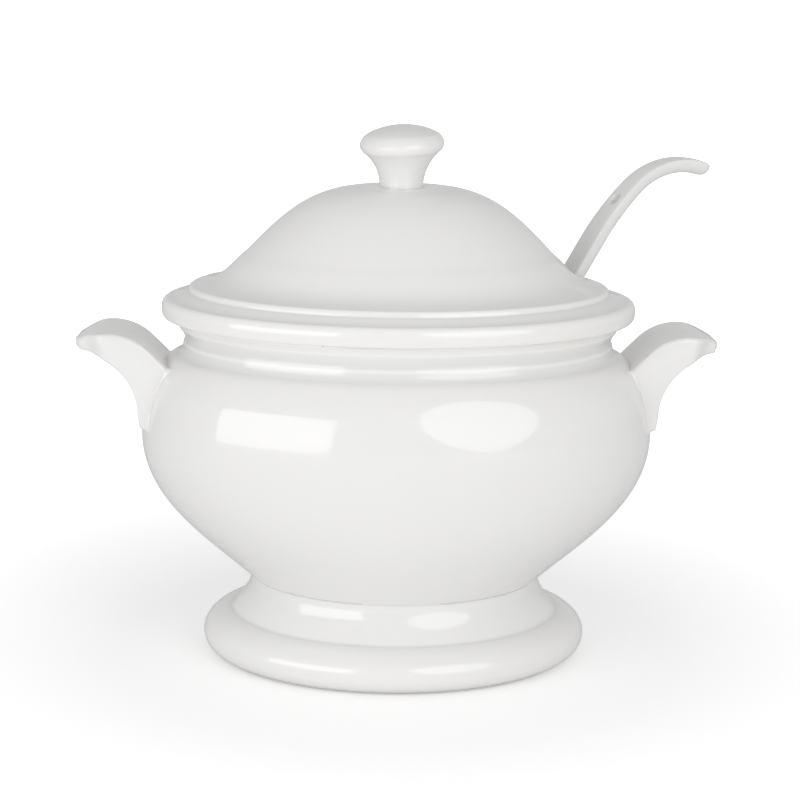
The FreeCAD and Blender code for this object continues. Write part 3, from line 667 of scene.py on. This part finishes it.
def build_handle(name, node, side):
    """A lug handle; side is 1 for the right one and -1 for the left one."""
    scene = bpy.context.scene
    sizes = scene.tureen_handles
    bowl = scene.tureen_bowl
    half_width = RIGHT_HIGH[1]
    upper, lower = handle_lines(sizes, bowl)
    tip_x = upper[0][0]
    levels = len(upper)
    rings = []
    for part in (0.35, 0.7, 0.9):
        shrink = math.sqrt(1 - (1 - part) ** 2)
        middle = 0.5 * (upper[0] + lower[0]) + Vector((0.0012 * (1 - part), 0, 0))
        rise = 0.5 * (upper[0] - lower[0]) * shrink
        width = tip_half_width(sizes, half_width, 0) * (0.8 + 0.2 * shrink)
        rings.append(handle_section(middle + rise, middle - rise, width, sizes.edge * shrink, 7))
    for index in range(levels - 1):
        inside = tip_x - 0.5 * (upper[index][0] + lower[index][0])
        width = tip_half_width(sizes, half_width, inside)
        rings.append(handle_section(upper[index], lower[index], width, sizes.edge, 7))
    # The root flares out over the belly: less on top, where its corner is crisp.
    last = rings[-1]
    foot = handle_section(upper[-1], lower[-1], half_width, sizes.edge, 7)
    middle = sum(foot, Vector()) / len(foot)
    for step in (0.25, 0.5, 0.75, 1.0):
        flared = []
        for above, below in zip(last, foot):
            away = Vector((0, below[1] - middle[1], below[2] - middle[2])).normalized()
            flare = sizes.flare * (0.25 if away[2] > 0.6 else 1.0)
            root = on_belly(bowl, below[1], below[2], 0)
            spread = below + away * flare
            end = on_belly(bowl, spread[1], spread[2], 0.0003)
            flared.append(bezier([above, root, end], 4)[int(4 * step)])
        rings.append(flared)
    if side < 0:
        rings = [[Vector((-point[0], point[1], point[2])) for point in one] for one in rings]
    points, faces = skin(rings, True, True)
    piece = new_piece(name, points, faces)
    weld(piece)
    finished(piece, "tureen", node, glaze_and_bisque())


# ----------
# Lid and knob
# ----------

def ogee(start, end):
    """The lid's hollow sweep up to the side of the dome."""
    rise = end[2] - start[2]
    run = start[0] - end[0]
    return curve(start, (-0.62 * run, 0.16 * rise), (0.36 * run, -0.46 * rise), end, 30)


def crown(start, end):
    """The round of the dome, from its side to its flat top."""
    rise = end[2] - start[2]
    run = start[0] - end[0]
    return curve(start, (-0.30 * run, 0.57 * rise), (0.46 * run, 0), end, 30)


def lid_row(lid, bowl):
    """Outline of the lid: edge, cove, step, ogee, dome, inside and locating flange."""
    seat = RIM_HEIGHT + lid.gap
    round_off = 0.4 * lid.edge
    cove_run = lid.step_inset - round_off
    step = LID_EDGE - lid.step_inset
    flange_side = bowl.wall + lid.flange_clearance
    flange_inside = flange_side + lid.flange_wall
    flange_low = RIM_HEIGHT - lid.flange_depth
    seat_outer = ring(LID_EDGE - 0.7 * round_off, seat, BODY_ASPECT)
    widest = ring(LID_EDGE, seat + 0.5 * lid.edge, BODY_ASPECT)
    edge_top = ring(LID_EDGE - round_off, seat + lid.edge, BODY_ASPECT)
    step_foot = ring(step, edge_top[2] + lid.cove, BODY_ASPECT)
    step_top = ring(step - 0.7 * lid.step, step_foot[2] + lid.step, BODY_ASPECT)
    dome_side = RIM_HEIGHT + lid.dome_rise
    side = ring(lid.dome, dome_side, BODY_ASPECT)
    top = ring(lid.flat, LID_TOP, BODY_ASPECT)
    inner_step = ring(step - lid.step, step_foot[2], BODY_ASPECT, lid.wall)
    inner_side = ring(lid.dome, dome_side - 0.35 * lid.wall, BODY_ASPECT, lid.wall)
    inner_top = ring(lid.flat, LID_TOP - lid.wall, BODY_ASPECT)
    seat_inner = ring(bowl.rim, seat, BODY_ASPECT, flange_side)
    flange_foot = ring(bowl.collar, flange_low, BODY_ASPECT, flange_side)
    flange_inner = ring(bowl.collar, flange_low, BODY_ASPECT, flange_inside)
    return outline([
        (straight(axis_point(inner_top[2]), inner_top), SHARP),
        (list(reversed(crown(inner_side, inner_top))), SHARP),
        (list(reversed(ogee(inner_step, inner_side))), SOFT),
        (straight(inner_step, flange_inner), SOFT),
        (straight(flange_inner, flange_foot), SOFT),
        (straight(flange_foot, seat_inner), SOFT),
        (straight(seat_inner, seat_outer), 0.0006),
        (curve(seat_outer, (0.45 * round_off, 0), (0, -0.34 * lid.edge), widest), SHARP),
        (curve(widest, (0, 0.30 * lid.edge), (0.6 * round_off, 0), edge_top), SHARP),
        (curve(edge_top, (-0.3 * cove_run, 0), (0.25 * cove_run, -0.25 * lid.cove), step_foot), 0.0009),
        (curve(step_foot, (0, 0.55 * lid.step), (0.3 * lid.step, 0), step_top), 0.0007),
        (ogee(step_top, side), SHARP),
        (crown(side, top), SHARP),
        (straight(top, axis_point(LID_TOP)), SHARP),
    ])


def arc(start, end, radius, bulge):
    """A round stretch between two circles; bulge is 1 to the left of the way, else -1."""
    chord = Vector((end[0] - start[0], end[2] - start[2]))
    half = 0.5 * chord.length
    left = Vector((-chord[1], chord[0])).normalized()
    middle = Vector((start[0] + end[0], start[2] + end[2])) * 0.5
    centre = middle - left * (bulge * math.sqrt(max(0.0, radius ** 2 - half ** 2)))
    first = math.atan2(start[2] - centre[1], start[0] - centre[0])
    last = math.atan2(end[2] - centre[1], end[0] - centre[0])
    sweep = (last - first + math.pi) % (2 * math.pi) - math.pi
    steps = 14
    row = []
    for step in range(steps + 1):
        turn = first + sweep * step / steps
        across = centre[0] + radius * math.cos(turn)
        row.append(Vector((across, across, centre[1] + radius * math.sin(turn))))
    return row


def knob_row(lid):
    """Outline of the knob: hollow side, rounded cap and domed top."""
    radius = KNOB_HIGH[0]
    height = KNOB_HIGH[2] - KNOB_LOW[2]
    foot = ring(lid.knob_base, LID_TOP - 0.0003, 1)
    neck = ring(lid.knob_neck, LID_TOP + lid.knob_neck_height, 1)
    widest = ring(radius, LID_TOP + lid.knob_widest_height, 1)
    shoulder = ring(lid.knob_shoulder, LID_TOP + lid.knob_shoulder_height, 1)
    flare = lid.knob_neck - lid.knob_base
    side_radius = (flare ** 2 + lid.knob_neck_height ** 2) / (2 * flare)
    crown_rise = height - lid.knob_shoulder_height
    crown_radius = (lid.knob_shoulder ** 2 + crown_rise ** 2) / (2 * crown_rise)
    top = axis_point(LID_TOP + height)
    return outline([
        (straight(axis_point(foot[2]), foot), SHARP),
        (arc(foot, neck, side_radius, 1), 0.0008),
        (arc(neck, widest, 0.28 * radius, -1), SHARP),
        (arc(widest, shoulder, 0.36 * radius, -1), 0.003),
        (arc(shoulder, top, crown_radius, -1), SHARP),
    ])


# ----------
# Ladle: its plane stands upright on the azimuth; places in it are (reach, height)
# ----------

class LadleLine:
    """The line of the ladle's flat face, and the directions beside it."""

    def __init__(self, ladle, bowl):
        self.ladle = ladle
        self.reach = Vector((math.cos(ladle.azimuth), math.sin(ladle.azimuth), 0))
        self.sideways = Vector((-math.sin(ladle.azimuth), math.cos(ladle.azimuth), 0))
        lip = ring(bowl.rim, RIM_HEIGHT, BODY_ASPECT, bowl.wall)
        lip_reach = 1 / math.hypot(self.reach[0] / lip[0], self.reach[1] / lip[1])
        self.rim_reach = lip_reach - ladle.rim_gap - ladle.thickness / math.sin(ladle.slope)
        self.bend_length = ladle.bend_radius * ladle.bend
        self.hook_length = ladle.hook_radius * ladle.hook
        self.ball = (ladle.cup ** 2 + ladle.cup_depth ** 2) / (2 * ladle.cup_depth)
        drop = self.ball - ladle.cup_depth
        inner_rim = math.sqrt((self.ball - ladle.cup_wall) ** 2 - drop ** 2)
        self.ball_height = NECK_HEIGHT + bowl.floor + ladle.floor_gap + self.ball
        rim = self.ball_height - drop * math.cos(ladle.cup_tilt) - inner_rim * math.sin(ladle.cup_tilt)
        self.cup_reach = (self.flat_face(rim) + drop * math.sin(ladle.cup_tilt)
                          - inner_rim * math.cos(ladle.cup_tilt))
        self.foot_height = rim - 0.3 * ladle.cup_depth

    def flat_face(self, height):
        """Reach of the flat face at a height on the straight part."""
        return self.rim_reach + (height - RIM_HEIGHT) / math.tan(self.ladle.slope)

    def point(self, reach, height):
        """A place in the ladle's plane, as a point of the model."""
        return self.reach * reach + Vector((0, 0, height))

    def at(self, distance):
        """Point and slope of the flat face; the distance is 0 where the bend starts."""
        ladle = self.ladle
        height = RIM_HEIGHT + ladle.bend_rise
        reach = self.flat_face(height)
        slope = ladle.slope
        if distance <= 0:
            reach += distance * math.cos(slope)
            height += distance * math.sin(slope)
            return self.point(reach, height), slope
        for radius, span in ((ladle.bend_radius, self.bend_length), (ladle.hook_radius, self.hook_length)):
            turn = min(distance, span) / radius
            reach += radius * (math.sin(slope) - math.sin(slope - turn))
            height += radius * (math.cos(slope - turn) - math.cos(slope))
            slope -= turn
            distance -= span
            if distance <= 0:
                break
        return self.point(reach, height), slope

    def outwards(self, slope):
        """The direction from the flat face to the round back."""
        return self.reach * math.sin(slope) - Vector((0, 0, math.cos(slope)))

    def section(self, distance, scale=1.0, count=40):
        """The half-round section, with softened edges and a faintly domed flat side."""
        ladle = self.ladle
        start, slope = self.at(distance)
        share = max(0.0, distance) / (self.bend_length + self.hook_length)
        width = ladle.width + share * (ladle.tip_width - ladle.width)
        thickness = ladle.thickness + share * (ladle.tip_thickness - ladle.thickness)
        outwards = self.outwards(slope)
        middle = start + outwards * (0.5 * thickness * (1 - scale))
        edge = 0.14 * thickness
        points = []
        for step in range(count):
            turn = 2 * math.pi * step / count
            across = 0.5 * width * math.cos(turn)
            if math.sin(turn) >= 0:
                back = edge + (thickness - edge) * math.sin(turn)
            else:
                back = edge - edge * abs(math.sin(turn)) ** 0.45
            points.append(middle + self.sideways * (across * scale) + outwards * (back * scale))
        return points


def ladle_rings(line):
    """The handle's sections, from its foot on the cup to its round tip."""
    start, slope = line.at(0)
    straight_length = (start[2] - line.foot_height) / math.sin(slope)
    end = line.bend_length + line.hook_length
    spans = [-straight_length * (1 - step / 16) for step in range(17)]
    last = end - 0.5 * line.ladle.tip_width
    spans += [last * step / 44 for step in range(1, 45)]
    rings = [line.section(distance) for distance in spans]
    for step in range(1, 9):
        part = math.sin(math.pi / 2 * step / 8.4)
        rings.append(line.section(last + 0.5 * line.ladle.tip_width * part, math.sqrt(1 - part ** 2)))
    return rings


def flared_drill(line):
    """The hanging hole's tool: narrow in the middle and flared at both faces."""
    ladle = line.ladle
    start, slope = line.at(ladle.hole_distance)
    outwards = line.outwards(slope)
    thickness = ladle.thickness
    across = outwards.cross(line.sideways)
    count = 48
    rings = []
    for depth, spread in ((-0.6, 1.5), (0.0, 1.32), (0.06, 1.12), (0.16, 1.0), (0.78, 1.0),
                          (0.9, 1.1), (1.0, 1.35), (1.6, 1.6)):
        centre = start + outwards * (thickness * depth)
        rings.append([centre + (line.sideways * math.cos(turn) + across * math.sin(turn))
                      * (ladle.hole * spread)
                      for turn in (2 * math.pi * step / count for step in range(count))])
    points, faces = skin(rings, True, True)
    tool = new_piece("drill", points, faces)
    weld(tool)
    return tool


def cup_place(line):
    """The cup's own frame: the foot of its axis, tilted about the ladle's sideways line."""
    turn = Matrix.Rotation(line.ladle.cup_tilt, 4, line.sideways)
    centre = line.point(line.cup_reach, line.ball_height)
    return Matrix.Translation(centre) @ turn @ Matrix.Translation(Vector((0, 0, -line.ball)))


def ball_stretch(radius, centre, start_height, end_height, steps=36):
    """A round stretch of a ball's outline between two heights."""
    first = math.acos(max(-1.0, min(1.0, (centre - start_height) / radius)))
    last = math.acos(max(-1.0, min(1.0, (centre - end_height) / radius)))
    row = []
    for step in range(steps + 1):
        turn = first + (last - first) * step / steps
        across = radius * math.sin(turn)
        row.append(Vector((across, across, centre - radius * math.cos(turn))))
    return row


def cup_row(line):
    """Outline of the cup, a cap of a hollow ball with a rounded lip."""
    ladle = line.ladle
    outside = ball_stretch(line.ball, line.ball, 0, ladle.cup_depth)
    inside = ball_stretch(line.ball - ladle.cup_wall, line.ball, ladle.cup_depth, ladle.cup_wall)
    return outline([
        (outside, 0.0015),
        (straight(outside[-1], inside[0]), 0.0015),
        (inside, SHARP),
    ])


def cup_plug(line):
    """The cup with its hollow filled in, which the handle is fitted against."""
    outside = ball_stretch(line.ball, line.ball, 0, line.ladle.cup_depth)
    row = outline([(outside, SHARP), (straight(outside[-1], axis_point(line.ladle.cup_depth)), SHARP)])
    tool = lathe("cup_plug", row, 96)
    tool.data.transform(cup_place(line))
    return tool


def notch_tool(line, lid):
    """The slot in the lid's rim that the ladle's handle stands in."""
    ladle = line.ladle
    half_width = 0.5 * ladle.width + ladle.notch
    inner = line.flat_face(RIM_HEIGHT - lid.flange_depth) - ladle.notch
    outer = 2 * LID_EDGE
    plan = []
    turns = [math.pi / 2 * step / 8 for step in range(9)]
    for side in (-1, 1):
        bend = [(inner + NOTCH_CORNER * (1 - math.cos(turn)),
                 side * (half_width - NOTCH_CORNER * (1 - math.sin(turn))))
                for turn in turns]
        plan += list(reversed(bend)) if side < 0 else bend
    plan += [(outer, half_width), (outer, -half_width)]
    rings = []
    for height in (RIM_HEIGHT - 2 * lid.flange_depth, LID_TOP):
        rings.append([line.reach * across + line.sideways * side + Vector((0, 0, height))
                      for across, side in plan])
    points, faces = skin(rings, True, True)
    tool = new_piece("notch_tool", points, faces)
    weld(tool)
    return tool


# ----------
# Stage
# ----------

def pointed(thing, place, target, roll=0.0):
    """Puts a lamp or camera at a place and turns it to its target."""
    aim = (target - place).to_track_quat("-Z", "Y").to_matrix().to_4x4()
    thing.matrix_world = Matrix.Translation(place) @ aim @ Matrix.Rotation(roll, 4, "Z")


def softbox(name, shape, width, height, place, power):
    """An even studio light, turned to the middle of the tureen."""
    light = bpy.data.lights.new(name, "AREA")
    light.shape = shape
    light.size = width
    light.size_y = height
    light.energy = power
    lamp = bpy.data.objects.new(name, light)
    bpy.context.scene.collection.objects.link(lamp)
    pointed(lamp, Vector(place), Vector((0, 0, 0.12)))


def build_camera(studio):
    """The camera, a little left of the front and above the lid."""
    data = bpy.data.cameras.new("camera")
    data.lens = studio.lens
    data.sensor_width = 36
    camera = bpy.data.objects.new("camera", data)
    bpy.context.scene.collection.objects.link(camera)
    turn = Matrix.Rotation(studio.turn, 3, "Z")
    place = turn @ Vector((0, -studio.distance, studio.height))
    target = turn @ Vector((studio.aim_side, 0, studio.aim_height))
    pointed(camera, place, target, studio.roll)
    bpy.context.scene.camera = camera


def build_floor():
    """A plain white floor that runs past the view, and glows faintly so that it stays white far away."""
    half = 14.0
    mesh = bpy.data.meshes.new("floor")
    corners = [(-half, -half, 0), (half, -half, 0), (half, half, 0), (-half, half, 0)]
    mesh.from_pydata(corners, [], [(0, 1, 2, 3)])
    floor = bpy.data.objects.new("floor", mesh)
    bpy.context.scene.collection.objects.link(floor)
    material, tree, shader = fresh_material("white_floor")
    shader.inputs["Base Color"].default_value = (0.9, 0.9, 0.9, 1)
    shader.inputs["Roughness"].default_value = 0.9
    shader.inputs["Specular IOR Level"].default_value = 0.1
    shader.inputs["Emission Color"].default_value = (1, 1, 1, 1)
    place = add_node(tree, "ShaderNodeTexCoord", (-900, 0))
    away = add_node(tree, "ShaderNodeVectorMath", (-700, 0), operation="LENGTH")
    tree.links.new(place.outputs["Object"], away.inputs[0])
    glow = add_node(tree, "ShaderNodeMapRange", (-500, 0), {
        "From Min": 0.15, "From Max": 0.7, "To Min": 0.3, "To Max": 1.0})
    tree.links.new(away.outputs["Value"], glow.inputs["Value"])
    seen = add_node(tree, "ShaderNodeLightPath", (-500, -300))
    strength = add_node(tree, "ShaderNodeMath", (-300, -100), operation="MULTIPLY")
    tree.links.new(glow.outputs["Result"], strength.inputs[0])
    tree.links.new(seen.outputs["Is Camera Ray"], strength.inputs[1])
    tree.links.new(strength.outputs["Value"], shader.inputs["Emission Strength"])
    mesh.materials.append(material)


def build_world(studio):
    """Even white light from all round, less of it from above; seen directly it is plain white."""
    world = bpy.data.worlds.new("studio")
    bpy.context.scene.world = world
    world.use_nodes = True
    tree = world.node_tree
    background = tree.nodes["Background"]
    background.inputs["Color"].default_value = (1, 1, 1, 1)
    place = add_node(tree, "ShaderNodeTexCoord", (-900, 0))
    parts = add_node(tree, "ShaderNodeSeparateXYZ", (-700, 0))
    tree.links.new(place.outputs["Generated"], parts.inputs["Vector"])
    fade = add_node(tree, "ShaderNodeMapRange", (-500, 0), {
        "To Min": studio.side_light, "To Max": studio.sky_light})
    tree.links.new(parts.outputs["Z"], fade.inputs["Value"])
    seen = add_node(tree, "ShaderNodeLightPath", (-500, -300))
    strength = add_node(tree, "ShaderNodeMath", (-300, -100), operation="MAXIMUM")
    tree.links.new(fade.outputs["Result"], strength.inputs[0])
    tree.links.new(seen.outputs["Is Camera Ray"], strength.inputs[1])
    tree.links.new(strength.outputs["Value"], background.inputs["Strength"])


# ----------
# Operators
# ----------

class TUREEN_OT_stage(bpy.types.Operator):
    """Sets up the floor, the lights and the camera"""
    bl_idname = "tureen.stage"
    bl_label = "Stage"

    def execute(self, context):
        build_world(context.scene.tureen_studio)
        build_floor()
        build_camera(context.scene.tureen_studio)
        softbox("left_softbox", "RECTANGLE", 1.2, 0.6, (-0.95, -1.0, 0.28), 5.0)
        softbox("right_softbox", "DISK", 1.0, 1.0, (0.62, -1.15, 0.5), 4.2)
        context.scene.view_settings.view_transform = "Standard"
        return {"FINISHED"}


class TUREEN_OT_bowl(bpy.types.Operator):
    """Makes the bowl"""
    bl_idname = "tureen.bowl"
    bl_label = "Bowl"

    def execute(self, context):
        scene = context.scene
        piece = lathe("porcelain_bowl", bowl_row(scene.tureen_bowl), scene.tureen_studio.segments)
        finished(piece, "tureen", "tureen_bowl", glaze_and_bisque())
        return {"FINISHED"}


class TUREEN_OT_foot(bpy.types.Operator):
    """Makes the foot, with its bare standing ring"""
    bl_idname = "tureen.foot"
    bl_label = "Foot"

    def execute(self, context):
        scene = context.scene
        row = foot_row(scene.tureen_foot, scene.tureen_bowl)
        piece = lathe("porcelain_foot", row, scene.tureen_studio.segments)
        finished(piece, "tureen", "pedestal_foot", glaze_and_bisque())
        bare_clay_where(piece, lambda middle, normal: middle[2] < 0.0008 and normal[2] < -0.5)
        return {"FINISHED"}


class TUREEN_OT_handles(bpy.types.Operator):
    """Makes the two lug handles"""
    bl_idname = "tureen.handles"
    bl_label = "Handles"

    def execute(self, context):
        build_handle("porcelain_handle_right", "right_handle", 1)
        build_handle("porcelain_handle_left", "left_handle", -1)
        return {"FINISHED"}


class TUREEN_OT_lid(bpy.types.Operator):
    """Makes the lid with its notch"""
    bl_idname = "tureen.lid"
    bl_label = "Lid"

    def execute(self, context):
        scene = context.scene
        lid = scene.tureen_lid
        line = LadleLine(scene.tureen_ladle, scene.tureen_bowl)
        piece = lathe("porcelain_lid", lid_row(lid, scene.tureen_bowl), scene.tureen_studio.segments)
        cut_away(piece, notch_tool(line, lid))
        finished(piece, "lid", "lid", glaze_and_bisque())
        seat = RIM_HEIGHT + lid.gap
        bare_clay_where(piece, lambda middle, normal: abs(middle[2] - seat) < 0.0002 and normal[2] < -0.9)
        return {"FINISHED"}


class TUREEN_OT_knob(bpy.types.Operator):
    """Makes the knob, with its cap a little out of level"""
    bl_idname = "tureen.knob"
    bl_label = "Knob"

    def execute(self, context):
        scene = context.scene
        lid = scene.tureen_lid
        piece = lathe("porcelain_knob", knob_row(lid), scene.tureen_studio.segments // 2)
        for point in piece.data.vertices:
            share = (point.co.z - LID_TOP) / lid.knob_neck_height
            point.co.z += lid.knob_slant * point.co.x * max(0.0, min(1.0, share)) ** 2
        finished(piece, "lid", "lid_knob", glaze_and_bisque())
        return {"FINISHED"}


class TUREEN_OT_ladle(bpy.types.Operator):
    """Makes the ladle's handle and cup"""
    bl_idname = "tureen.ladle"
    bl_label = "Ladle"

    def execute(self, context):
        scene = context.scene
        line = LadleLine(scene.tureen_ladle, scene.tureen_bowl)
        points, faces = skin(ladle_rings(line), True, True)
        handle = new_piece("porcelain_ladle_handle", points, faces)
        weld(handle)
        cut_away(handle, flared_drill(line))
        cut_away(handle, cup_plug(line))
        finished(handle, "ladle", "ladle_handle", glaze_and_bisque())
        cup = lathe("porcelain_ladle_cup", cup_row(line), scene.tureen_studio.segments // 2)
        cup.data.transform(cup_place(line))
        finished(cup, "ladle", "ladle_cup", glaze_and_bisque())
        return {"FINISHED"}


class TUREEN_PT_panel(bpy.types.Panel):
    """Lists the tureen's pieces in the sidebar"""
    bl_idname = "TUREEN_PT_panel"
    bl_label = "Soup tureen"
    bl_space_type = "VIEW_3D"
    bl_region_type = "UI"
    bl_category = "Tureen"

    def draw(self, context):
        column = self.layout.column(align=True)
        for operator in OPERATORS:
            column.operator(operator.bl_idname)


# ----------
# Registration
# ----------

GROUPS = {
    "tureen_bowl": BowlSizes,
    "tureen_foot": FootSizes,
    "tureen_lid": LidSizes,
    "tureen_handles": HandleSizes,
    "tureen_ladle": LadleSizes,
    "tureen_glaze": GlazeLook,
    "tureen_studio": StudioSizes,
}
OPERATORS = (TUREEN_OT_stage, TUREEN_OT_bowl, TUREEN_OT_foot, TUREEN_OT_handles,
             TUREEN_OT_lid, TUREEN_OT_knob, TUREEN_OT_ladle)


def register():
    """Registers the classes and hangs the sizes on the scene."""
    for group in (*GROUPS.values(), *OPERATORS, TUREEN_PT_panel):
        bpy.utils.register_class(group)
    for name, group in GROUPS.items():
        setattr(bpy.types.Scene, name, PointerProperty(type=group))


def unregister():
    """Takes the sizes and classes away again."""
    for name in GROUPS:
        delattr(bpy.types.Scene, name)
    for group in reversed((*GROUPS.values(), *OPERATORS, TUREEN_PT_panel)):
        bpy.utils.unregister_class(group)


def main():
    """Builds the whole object."""
    register()
    for operator in OPERATORS:
        family, action = operator.bl_idname.split(".")
        getattr(getattr(bpy.ops, family), action)()


if __name__ == "__main__":
    main()
